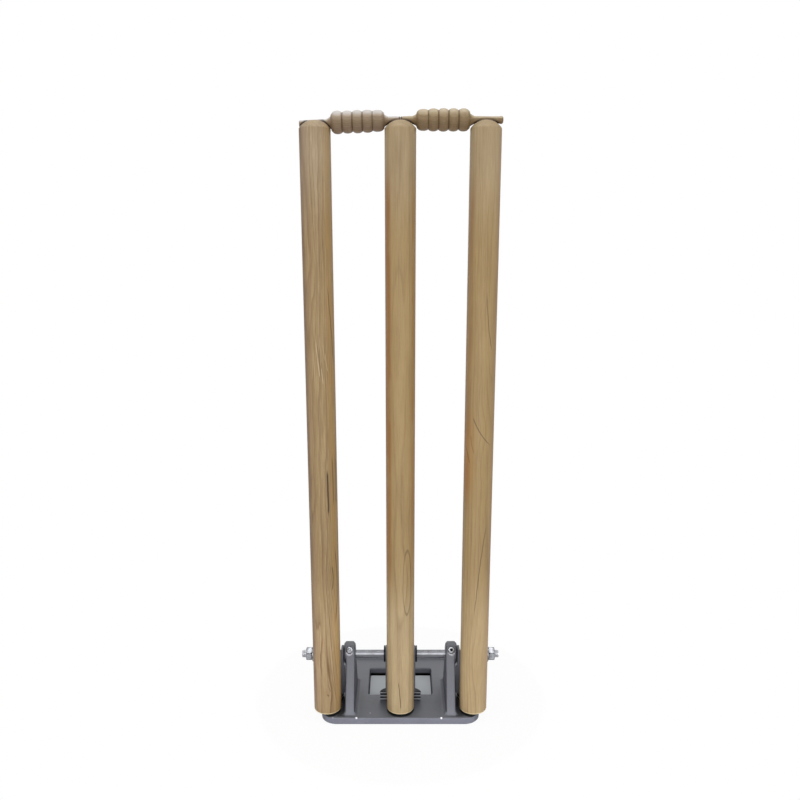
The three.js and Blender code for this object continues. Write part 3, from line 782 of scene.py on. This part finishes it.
def bail_profile(rng, end, knob):
    """A bail's outline as (radius, distance) pairs, from its inner spigot to its outer one."""
    valley = 0.0097
    crest = 0.012
    steps = 16
    start = 0.00005
    outline = [(0, start), (0.0024, start)]
    for angle in (0.5, 1.1, 1.57):
        outline.append((0.0024 + 0.0011 * math.sin(angle), start + 0.0011 * (1 - math.cos(angle))))
    outline += [(0.0038, start + 0.004), (0.00405, 0.0128), (0.0045, 0.0142), (0.0051, 0.0155)]
    outline += [(0.0059, 0.0168), (0.007, 0.0176)]
    outline += [(0.0083, barrel_start), (0.0093, barrel_start + 0.0011)]
    for number in range(ring_count):
        height = crest - valley - (rng.uniform(0, 0.00035) if number else 0.0009)
        ring_start = barrel_start + barrel_shoulder + ring_length * number
        for i in range(1 if number else 0, steps + 1):
            lift = (1 - abs(2 * i / steps - 1) ** 2.2) ** 0.75
            outline.append((valley + height * lift, ring_start + ring_length * i / steps))
    cone = [(0.0092, -0.001), (0.0083, -0.0002), (0.0068, 0), (cone_radius, 0.0004)]
    cone += [(0.0052, 0.0024), (0.0043, 0.0042), (0.004, 0.006), (0.0038, 0.02)]
    outline += [(radius, barrel_end + beyond) for radius, beyond in cone]
    bulge, soft = (0.0041, 0.0021) if knob else (0.0037, 0.0007)
    outline += [(0.0037, end - 0.0042), (bulge, end - 0.0026)]
    for angle in (0, 0.4, 0.8, 1.2, 1.57):
        outline.append((bulge - soft * (1 - math.cos(angle)), end - soft * (1 - math.sin(angle))))
    return outline + [(0, end)]


def bail_mesh(name, side, seed):
    """A turned bail along X. Only the right one has a knob, and the left one is shorter and tilted."""
    end = spigot_end if side > 0 else spigot_end - left_spigot_cut
    outline = bail_profile(np.random.default_rng(seed), end, knob=side > 0)
    turn = Matrix.Rotation(math.radians(90), 4, "Y")
    if side < 0:
        tilt = Matrix.Rotation(-bail_tilts["left"], 4, "Y")
        turn = tilt @ Matrix.Rotation(math.pi, 4, "Z") @ turn
    place = Matrix.Translation((0, stump_y, bail_z)) @ turn
    return built(name, lattice(turned(outline)), place, crease=50)


# ---- hardware on the rod


def on_rod(side=1, x=0, thickness=0):
    """Turns a body from Z to X on the rod's axis, its inner face at x from the middle."""
    start = x if side > 0 else -x - thickness
    return Matrix.Translation((start, rod_y, rod_z)) @ Matrix.Rotation(math.radians(90), 4, "Y")


def rod_mesh(name):
    """The rod, turned smooth between the nuts and threaded at both ends."""
    pitch, depth = 0.0015, 0.0007
    chamfer = 0.0009
    thread_start = rod_half_length - 0.0135
    step = pitch / 12
    count = int((rod_half_length - chamfer - thread_start) / step) + 1
    half = [0.04, 0.09] + [thread_start + step * i for i in range(count)]
    half += [rod_half_length - inset for inset in (0.0008, 0.0003, 0)]
    rings = []
    for x in [-x for x in reversed(half)] + [0] + half:
        spots = []
        for k in range(48):
            phase = (x / pitch - k / 48) % 1
            flank = min(1, max(0, abs(2 * phase - 1) * 1.5 - 0.2))
            run_out = min(1, max(0, (abs(x) - thread_start) / pitch))
            tip = rod_radius - chamfer + rod_half_length - abs(x)
            spots.append((min(rod_radius - depth * flank * run_out, tip), x))
        rings.append(polar(spots))
    return built(name, tube(rings), on_rod(), crease=45)


def ring_mesh(name, side, x, outer, thickness, edge):
    """A washer or collar: a turned ring with soft edges, its inner face at x from the middle."""
    outline = [(rod_bore, 0.0002), (rod_bore + 0.0002, 0), (outer - edge, 0)]
    outline += [(outer - edge * 0.3, edge * 0.3), (outer, edge)]
    outline += [(radius, thickness - height) for radius, height in reversed(outline)]
    grid = lattice(turned(outline), wrap_rows=True)
    return built(name, grid, on_rod(side, x, thickness), crease=40)


def nut_mesh(name, side, flats=0.016, thickness=0.008):
    """A hexagon nut with both faces chamfered and a countersunk bore, one corner upwards."""
    face = flats / 2 * 0.96
    slope = math.tan(math.radians(30))
    corners = [hexagon(flats, angle) for angle in round_steps(96)]

    def chamfered(radius, rise=0):
        return (radius, max(0, radius - face) * slope + rise)

    outline = [[spot] * 96 for spot in ((rod_bore, 0.0007), (rod_bore + 0.0007, 0), (face, 0))]
    outline.append([chamfered((face + corner) / 2) for corner in corners])
    outline.append([chamfered(corner - 0.0001) for corner in corners])
    outline.append([chamfered(corner, 0.0002) for corner in corners])
    for row in outline[::-1]:
        outline.append([(radius, thickness - height) for radius, height in row])
    grid = lattice([polar(row) for row in outline], wrap_rows=True)
    return built(name, grid, on_rod(side, nut_x, thickness), crease=30)


def grub_mesh(name, side):
    """A grub screw that leans up out of the lug's head, and which of its faces are in its socket."""
    radius, start, end = 0.0041, 0.0053, 0.0141
    flats, depth = 0.0034, 0.004
    socket = [hexagon(flats, angle) for angle in round_steps(72)]
    body = [(0, start), (radius - 0.0004, start), (radius, start + 0.0004), (radius, end - 0.0005)]
    body += [(radius - 0.0002, end - 0.0001), (radius - 0.0007, end)]
    outline = [[spot] * 72 for spot in body]
    for wider, height in ((0.0002, end), (0, end - 0.0003), (0, end - depth)):
        outline.append([(reach + wider, height) for reach in socket])
    outline.append([(0, end - depth - 0.0006)] * 72)
    turn = Matrix.Rotation(math.radians(90) - grub_elevation, 4, "X")
    place = Matrix.Translation((side * lug_head_x, rod_y, rod_z)) @ turn
    screw = built(name, lattice([polar(row) for row in outline]), place, crease=30)
    back = place.inverted()
    middles = [(back @ face.center).xy for face in screw.data.polygons]
    return screw, [math.hypot(*middle) < flats / 2 + 0.0001 for middle in middles]


def spring_path(side):
    """A return spring's path from its hook to its tail, and the x of its tail and its hook."""
    hand = 1 if side < 0 else -1
    half, reach, bend = 0.011, 0.0079, 0.003
    turns, steps = 5, 28
    hook_z = rod_z + 0.017
    hook_x = side * stump_pitch - hand * half
    tail_x = side * stump_pitch + hand * half
    rear = rod_y + reach
    path = [(hook_x, web_front, hook_z)]
    for i in range(9):
        angle = math.pi / 2 * (1 - i / 8)
        y = rear - bend + bend * math.cos(angle)
        path.append((hook_x, y, hook_z - bend + bend * math.sin(angle)))
    path.append((hook_x, rear, rod_z + 0.0055))
    for i in range(turns * steps + 1):
        angle = -2 * math.pi * i / steps
        x = hook_x + (tail_x - hook_x) * i / (turns * steps)
        path.append((x, rod_y + reach * math.cos(angle), rod_z + reach * math.sin(angle)))
    path += [(tail_x, rear, z) for z in (rod_z - 0.006, 0.03, 0.004)]
    return [Vector(p) for p in path], tail_x, hook_x


def spring_mesh(name, side):
    """A torsion spring of round wire: a hook over its bracket, five curls and a lower leg."""
    path, tail_x, hook_x = spring_path(side)
    wire = 0.0011
    angles = round_steps(14)
    rings = []
    normal = Vector((1, 0, 0))
    for i, spot in enumerate(path):
        tangent = (path[min(i + 1, len(path) - 1)] - path[max(i - 1, 0)]).normalized()
        normal = (normal - tangent * normal.dot(tangent)).normalized()
        other = tangent.cross(normal)
        rings.append([spot + wire * (normal * math.cos(a) + other * math.sin(a)) for a in angles])
    tips = [[spot + (p - spot) * 0.001 for p in rings[at]] for at, spot in ((0, path[0]), (-1, path[-1]))]
    # The lower leg narrows to its tip, and its last ring is a flat disc inside the plate's hole.
    grid = tube([tips[0], *rings[:-1], tips[1], rings[-1]])
    return built(name, grid, Matrix(), crease=50), tail_x, hook_x


def buffer_mesh(name, side):
    """The ribbed pad behind a foot: half an ellipse in plan, and the outer ones cut straight."""
    half_width, depth, height = 0.027, 0.013, 0.0135
    ribs, steps, groove = 3, 12, 0.002
    low, high = -half_width, half_width
    if side:
        low, high = sorted(side * (cut - stump_pitch) for cut in outer_buffer_cuts)
    rings = []
    for rib in range(ribs):
        for i in range(1 if rib else 0, steps + 1):
            shrink = groove * (1 - math.sqrt(max(0, 1 - (2 * i / steps - 1) ** 2)))
            z = plate_top + height * (rib + i / steps) / ribs
            wide = half_width - shrink
            left, right = max(low, -wide), min(high, wide)
            ring = []
            for k in range(41):
                x = (left + right) / 2 - (right - left) / 2 * math.cos(math.pi * k / 40)
                y = (depth - shrink) * math.sqrt(max(0, 1 - (x / wide) ** 2))
                ring.append((side * stump_pitch + x, web_back + y, z))
            straight = np.linspace(right, left, 9)[1:-1]
            rings.append(ring + [(side * stump_pitch + x, web_back, z) for x in straight])
    return built(name, tube(rings), Matrix(), crease=40)


def wood_screw_mesh(name, side, z):
    """A pan-headed wood screw: a slotted head on the web's back, and a shank in the stump."""
    head, rise, slot_half, slot_depth = 0.0042, 0.0024, 0.0005, 0.0011
    edge = [-0.0038, -0.003, -0.0022, -0.0014, -0.0008, -0.00056, -0.0005, -0.00049]
    across = edge + [-0.0002, 0.0002] + [-v for v in reversed(edge)]

    def surface(x, v):
        away = min(1, math.hypot(x, v) / head)
        dome = rise * (0.42 + 0.58 * math.sqrt(1 - away**2.6))
        return (x, v, dome - slot_depth if abs(v) < slot_half - 0.000005 else dome)

    columns = [math.sin(math.pi / 2 * (i / 12 - 1)) for i in range(25)]
    rows = [[surface(math.sqrt(head**2 - v**2) * share, v) for share in columns] for v in across]
    loop = border(rows)
    rings = [loop, [(x, v, 0) for x, v, _ in loop]]
    for radius, depth in ((0.0022, 0), (0.0021, 0.0136), (0.0003, 0.0176)):
        rings.append(level_ring(loop, radius, -depth))
    grid = tube(rings, onto=lattice(rows, wrap_columns=False))
    turn = Matrix.Rotation(math.radians(-90), 4, "X")
    place = Matrix.Translation((side * stump_pitch, web_back, z)) @ turn
    return built(name, grid, place, crease=35)


# ---- pieces in the frame


def softened(node, voxel, passes, keep):
    """Rounds a CAD casting's edges as a mould would, by modifiers on the node itself."""
    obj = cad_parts[node]
    remesh = obj.modifiers.new("even mesh", "REMESH")
    remesh.mode = "VOXEL"
    remesh.voxel_size = voxel
    remesh.use_smooth_shade = True
    smooth = obj.modifiers.new("soft edges", "SMOOTH")
    smooth.factor = 0.5
    smooth.iterations = passes
    obj.modifiers.new("fewer faces", "DECIMATE").ratio = keep
    return obj


def painted(obj, material):
    obj.data.materials.clear()
    obj.data.materials.append(material)


def dressed(obj, node, body, material):
    """Puts a finished piece in a CAD node's place: its body and its material."""
    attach(obj, body)
    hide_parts(node)
    painted(obj, material)


# ---- the looks of each wood

# Places are in millimetres from the stump's axis and from the floor.
# Lines and streaks are (x0, z0, x1, z1, bow, width, depth), with a wobble if it isn't 0.8.
# Loops are (x0, z0, half width, half height, width, depth).
# Bends, which push the year rings aside, are (x0, z0, half width, half height, push).
# Tints, stains towards one side, are (side, start, full, depth, colour), and the part of the height that
# they keep to as z0, half height and the share of it at full depth.

pale_look = dict(
    pale=srgb(172, 147, 103), main=srgb(151, 126, 84), deep=srgb(98, 70, 38),
    crack_and_shade=srgb(74, 54, 34), handled=srgb(140, 118, 88),
    calm=0.5, fibre_depth=0.6,
)
left_look = dict(
    pale_look,
    seed=3.1, pith=(34, 30), lean=0.012, waviness=13, ring_width=3, ring_depth=0.7, fibre_depth=0.85,
    pale=srgb(178, 154, 113), main=srgb(146, 122, 84), crack_and_shade=srgb(56, 38, 22),
    foot_light_gain=(1.34, 1.38, 1.56),
    bends=[(2.1, 43.7, 5, 14, 2), (14, 20, 12, 70, 6), (8, 190, 6, 26, -4), (-3, 560, 7, 60, 4)],
    lines=[
        (6.8, 338, 7.4, 274, 0.3, 1.5, 1), (9.7, 215.5, 9, 178.5, 1.8, 1, 0.6),
        (12.6, 244, 11.8, 128, 3.2, 0.9, 0.55), (3, 246, 2.6, 130, 1.9, 0.7, 0.3),
        (12.3, 355, 13.3, 284, 0.4, 0.9, 0.5), (15.6, 356, 15.8, 283, 0.2, 0.9, 0.5),
        (-0.6, 130, 5.1, 34, -1.4, 0.7, 0.25), (4.5, 120, 13.8, 22, -2, 0.7, 0.35),
        (9.9, 128, 14.3, 52, -0.6, 0.7, 0.25), (-5.3, 129, -5.4, 58, 0.5, 0.6, 0.2),
        (2, 54.9, 5.3, 44, 0.4, 0.6, 0.5), (1.4, 42, 2.8, 38.5, 0.2, 1.2, 0.7),
        (10.6, 554, 16, 452, 0.8, 0.8, 0.5), (-1.5, 486, 2.8, 438, 0.4, 0.7, 0.45),
        (1, 482, 5.5, 436, 0.4, 0.6, 0.35),
    ],
    streaks=[
        (-2.8, 490, 1.8, 441, -0.6, 0.7, 0.42), (-0.8, 464, 1.2, 444, 0, 0.6, 0.35),
        (2.6, 457, 4.8, 435, 0, 0.6, 0.42), (7.2, 474, 10.4, 449, -0.4, 0.6, 0.35),
        (5, 484, 7, 462, 0, 0.6, 0.28), (-5.6, 478, -4, 436, -0.3, 0.6, 0.28),
        (1.2, 494, 3.4, 458, -0.2, 0.55, 0.28), (-4, 500, -1.6, 468, -0.2, 0.55, 0.25),
    ],
    tints=[
        (-1, 2, 11, 0.35, (140, 113, 86)), (-1, 11, 15.5, 0.85, (104, 74, 44)),
        (1, 7, 14, 0.55, (160, 126, 72)),
    ],
)
middle_look = dict(
    pale_look,
    seed=8.4, pith=(4, 42), lean=0.004, waviness=6, ring_width=4.6, ring_depth=0.42,
    foot_light_gain=(1.44, 1.6, 2.1),
    bends=[(8, 191, 7.5, 44, 3), (-2, 480, 8, 70, 3)],
    lines=[(-3, 61.8, 0.8, 17.1, 0.4, 0.75, 0.85, 1.5)],
    loops=[(8, 191, 4.8, 41, 0.6, 0.5)],
    tints=[
        (-1, 9.5, 12.5, 0.95, (140, 98, 52), 430, 270, 0.75),
        (1, 11.5, 14, 0.9, (142, 106, 52), 430, 270, 0.75),
    ],
)
right_look = dict(
    pale_look,
    seed=13.7, pith=(-46, 30), lean=-0.008, waviness=8, ring_width=4, ring_depth=0.32, calm=0.65,
    foot_light_gain=(1.42, 1.52, 1.88),
    bends=[(4, 380, 9, 26, -4), (9, 500, 7, 60, 5), (-4, 90, 8, 40, 4)],
    lines=[
        (-9.5, 400, 13.9, 361.5, -3.4, 1.1, 0.7, 0.6), (11.1, 274, -2.9, 140, -1.8, 0.8, 0.7, 1.5),
        (3.5, 544, 12.2, 470, -2, 0.8, 0.6, 1.5), (-15.5, 362, -11.5, 340, 0, 0.8, 0.5, 1.5),
        (-10.5, 378, -6, 352, -1.5, 0.8, 0.4),
    ],
    tints=[
        (-1, 2, 15, 0.7, (162, 120, 64), 350, 70, 0.3),
        (-1, 11, 14.5, 0.7, (166, 112, 50), 345, 50, 0.4),
        (-1, 10, 13.5, 0.65, (136, 100, 62), 480, 220, 0.7),
        (1, 11, 15, 0.55, (138, 102, 60)),
    ],
)


def bail_look(seed, pale, main, deep, lit_top):
    deep = srgb(*deep)
    return dict(
        pale_look, seed=seed, pith=(22, -28), lean=0.02, waviness=5, ring_width=2.2, ring_depth=0.3,
        fibre_depth=0.5, pale=srgb(*pale), main=srgb(*main), deep=deep, handled=deep,
        lit_top=srgb(*lit_top),
    )


left_bail_look = bail_look(5.2, (172, 156, 134), (148, 130, 108), (98, 76, 56), (206, 203, 198))
right_bail_look = bail_look(21.9, (168, 150, 120), (144, 124, 92), (94, 72, 46), (182, 166, 138))


# ---- the model, piece by piece

stump_woods = {
    word: wood(f"{word} stump wood", (sides[word] * stump_pitch, stump_y, 0), look)
    for word, look in (("left", left_look), ("middle", middle_look), ("right", right_look))
}
bail_woods = {
    word: wood(f"{word} bail wood", (0, stump_y, bail_z), look, lengthwise="X")
    for word, look in (("left", left_bail_look), ("right", right_bail_look))
}
base_paint = cast_paint("base paint", srgb(113, 115, 124), is_base=True)
bracket_paint = cast_paint("bracket paint", srgb(112, 114, 122), coarse=0.7)
rod_steel = turned_steel("rod steel", srgb(124, 125, 130), 0.36, is_rod=True)
collar_steel = turned_steel("collar steel", srgb(36, 37, 41), 0.45, lines=(0.6, 6, 6))
wire_steel = turned_steel("spring steel", srgb(112, 112, 116), 0.34, lines=(2, 2, 2))
plated = zinc("bright zinc")
grimy_shaded_zinc = zinc("grimy shaded zinc", grime_and_shade=0.8)
black_rubber = rubber("black rubber")

casting = softened("base_casting", voxel=0.0007, passes=6, keep=0.25)
painted(casting, base_paint)
for word, side in sides.items():
    body = f"{word}_stump"
    stump = stump_mesh(f"turned_stump_{word}", side)
    dressed(stump, f"stump_{word}", body, stump_woods[word])
    bracket = softened(f"bracket_{word}", voxel=0.00045, passes=4, keep=0.4)
    painted(bracket, bracket_paint)
    for level, z in screw_heights.items():
        node = f"bracket_screw_{word}_{level}"
        screw = wood_screw_mesh(f"slotted_{node}", side, z)
        dressed(screw, node, body, plated)
    spring, tail_x, hook_x = spring_mesh(f"coiled_spring_{word}", side)
    spring.data.materials.append(wire_steel)
    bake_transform(spring)
    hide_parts(f"return_spring_{word}")
    pad = buffer_mesh(f"ribbed_buffer_{word}", side)
    dressed(pad, f"foot_buffer_{word}", "base", black_rubber)
dressed(rod_mesh("threaded_rod"), "pivot_rod", "base", rod_steel)
for word, side, seed in (("left", -1, 4), ("right", 1, 9)):
    bail = bail_mesh(f"turned_bail_{word}", side, seed)
    dressed(bail, f"bail_{word}", f"{word}_bail", bail_woods[word])
    screw, in_socket = grub_mesh(f"socket_screw_{word}", side)
    dressed(screw, f"set_screw_{word}", "base", plated)
    screw.data.materials.append(collar_steel)
    for face, dark in zip(screw.data.polygons, in_socket):
        face.material_index = 1 if dark and side > 0 else 0
    collar = ring_mesh(f"turned_collar_{word}", side, collar_x, outer=0.0105, thickness=0.0019, edge=0.0004)
    dressed(collar, f"rod_collar_{word}", "base", collar_steel)
    washer = ring_mesh(f"flat_washer_{word}", side, washer_x, outer=0.01, thickness=0.0015, edge=0.0002)
    dressed(washer, f"washer_{word}", "base", grimy_shaded_zinc)
    nut = nut_mesh(f"chamfered_nut_{word}", side)
    dressed(nut, f"nut_{word}", "base", grimy_shaded_zinc)


# ---- floor, light and camera


def floor_material():
    """A pale floor that keeps its shadows near the base and turns white farther out, with painted shade on
    it inside the base's window.
    """
    n = Nodes("pale floor")
    place = n.millimetres()
    x, y, _ = n.axes(place)
    outline = n.math("MAXIMUM", abs(x) / 101, abs(y) / 76.5)
    mottle = n.noise(place, 0.02, detail=4)
    inside = n.fade(outline, 0.8, 0.7)
    colour = n.layers(
        n.mix(n.fade(mottle, 0.3, 0.7), srgb(246, 246, 246), srgb(249, 249, 249)),
        # Painted shade on the floor inside the base's window, with a black painted shadow along its far
        # wall and painted shade along its sides.
        (inside, srgb(198, 202, 206)),
        (n.fade(y, 41.2, 42.2) * inside, srgb(6, 6, 6)),
        (n.fade(abs(x), 41.2, 42) * inside, srgb(60, 62, 68)),
    )
    surface = n.out("ShaderNodeBsdfDiffuse", {"Color": colour})
    white = n.out("ShaderNodeEmission", {"Color": (1, 1, 1, 1), "Strength": 1})
    near = n.fade(outline, 0.8, 0.95, 0, 0.94)
    far = n.math("MAXIMUM", near, n.fade(n.distance(x, y), 120, 200))
    share = far * n.background_seen()
    return n.end(n.out("ShaderNodeMixShader", {0: share, 1: surface, 2: white}))


def set_floor():
    half = 3
    mesh = bpy.data.meshes.new("floor")
    corners = [(x * half, y * half, 0) for x, y in ((-1, -1), (1, -1), (1, 1), (-1, 1))]
    mesh.from_pydata(corners, [], [(0, 1, 2, 3)])
    mesh.materials.append(floor_material())
    linked("floor", mesh)


def set_world(ambient):
    """White behind the object and in reflections, and an even light of this strength on it."""
    n = Nodes("studio", world=True)
    strength = n.fade(n.background_seen(), 0, 1, ambient, 1)
    background = n.out("ShaderNodeBackground", {"Color": (1, 1, 1, 1), "Strength": strength})
    scene.world = n.end(background, "ShaderNodeOutputWorld")


def soft_light(name, place, target, size, power):
    lamp = bpy.data.lights.new(name, "AREA")
    lamp.shape = "RECTANGLE"
    lamp.size, lamp.size_y = size
    lamp.energy = power
    obj = linked(name, lamp)
    obj.location = place
    obj.rotation_euler = (Vector(target) - Vector(place)).to_track_quat("-Z", "Y").to_euler()
    obj.visible_camera = False


def set_camera():
    lens = bpy.data.cameras.new("camera")
    lens.lens = 36
    lens.sensor_width = 36
    lens.shift_x = -0.0005
    lens.shift_y = 0.0375
    lens.clip_start = 0.01
    camera = linked("camera", lens)
    camera.location = (0, -0.97698, 0.59587)
    camera.rotation_euler = (math.radians(76.737), 0, 0)
    scene.camera = camera


set_floor()
set_world(0.36)
soft_light("front light", (0, -1.9, 0.9), (0, -0.03, 0.2), (1.6, 1), 13.5)
soft_light("low light", (0, -0.85, 0.14), (0, -0.05, 0.03), (0.9, 0.16), 1.2)
soft_light("left light", (-1.5, -0.7, 0.9), (0, -0.03, 0.2), (0.9, 1.2), 4)
soft_light("right light", (1.5, -0.6, 0.9), (0, -0.03, 0.2), (0.9, 1.2), 4)
soft_light("top light", (0, -0.1, 1.9), (0, -0.03, 0.1), (1, 1), 9)
soft_light("back light", (0, 1.9, 0.9), (0, -0.03, 0.2), (1.6, 1), 5)
set_camera()
scene.view_settings.view_transform = "Standard"
